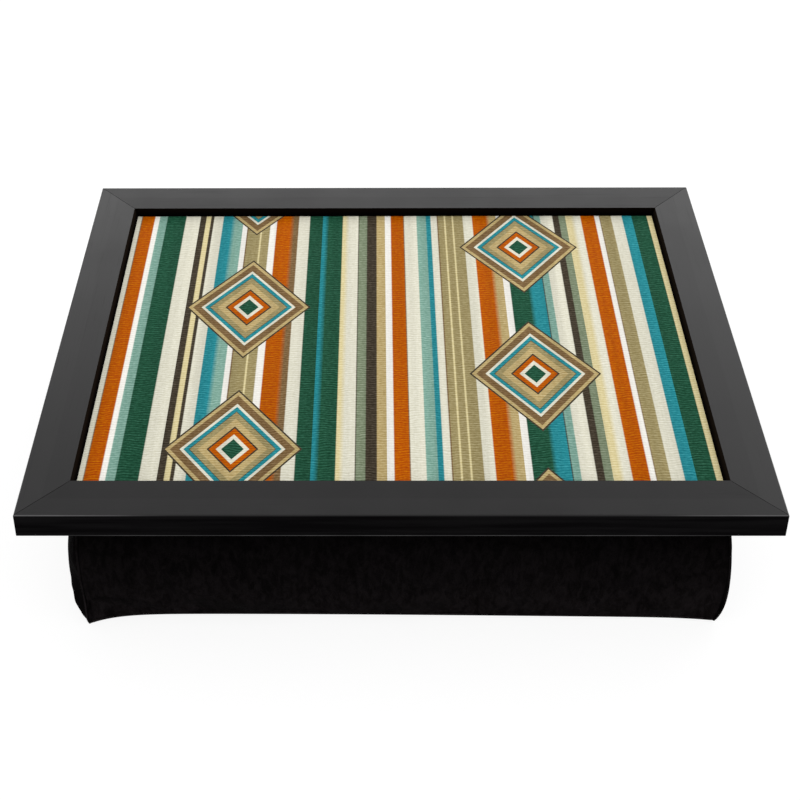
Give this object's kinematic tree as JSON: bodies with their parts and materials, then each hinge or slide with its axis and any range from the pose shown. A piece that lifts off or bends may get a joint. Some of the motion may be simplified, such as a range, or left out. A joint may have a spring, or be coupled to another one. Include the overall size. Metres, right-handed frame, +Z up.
{
  "type": "cushioned lap tray",
  "caption": "Rectangular breakfast tray with a raised mitred frame round a printed board, on a detachable bead-filled cushion.",
  "frame": {"origin": "on the floor under the middle of the cushion, with the tray level above it", "axes": "+X along the long side, +Z up, and the side nearest the user at -Y"},
  "size_m": [0.44, 0.34, 0.0925],
  "materials": {
    "frame_foil": "satin",
    "printed_laminate": "matte",
    "hardboard": "matte",
    "steel": "satin",
    "hook_tape": "matte",
    "loop_tape": "matte",
    "cushion_fabric": "matte",
    "liner_fabric": "matte"
  },
  "bodies": {
    "cushion": {"cushion_body": "cushion_fabric", "cushion_top_panel": "cushion_fabric", "bead_filled_liner": "liner_fabric", "front_left_loop_tape": "loop_tape", "front_right_loop_tape": "loop_tape", "rear_left_loop_tape": "loop_tape", "rear_right_loop_tape": "loop_tape"},
    "tray": {"front_rail": "frame_foil", "rear_rail": "frame_foil", "left_rail": "frame_foil", "right_rail": "frame_foil", "front_left_nail_1": "steel", "front_left_nail_2": "steel", "front_right_nail_1": "steel", "front_right_nail_2": "steel", "rear_left_nail_1": "steel", "rear_left_nail_2": "steel", "rear_right_nail_1": "steel", "rear_right_nail_2": "steel", "printed_laminate": "printed_laminate", "tray_board": "hardboard", "front_retainer_point_1": "steel", "front_retainer_point_2": "steel", "front_retainer_point_3": "steel", "rear_retainer_point_1": "steel", "rear_retainer_point_2": "steel", "rear_retainer_point_3": "steel", "left_retainer_point_1": "steel", "left_retainer_point_2": "steel", "right_retainer_point_1": "steel", "right_retainer_point_2": "steel", "front_left_hook_tape": "hook_tape", "front_right_hook_tape": "hook_tape", "rear_left_hook_tape": "hook_tape", "rear_right_hook_tape": "hook_tape"}
  },
  "joints": [
    {"name": "tray_lift", "type": "slide", "parent": "cushion", "child": "tray", "axis": [0, 0, 1], "range_m": [0, 0.08]}
  ]
}
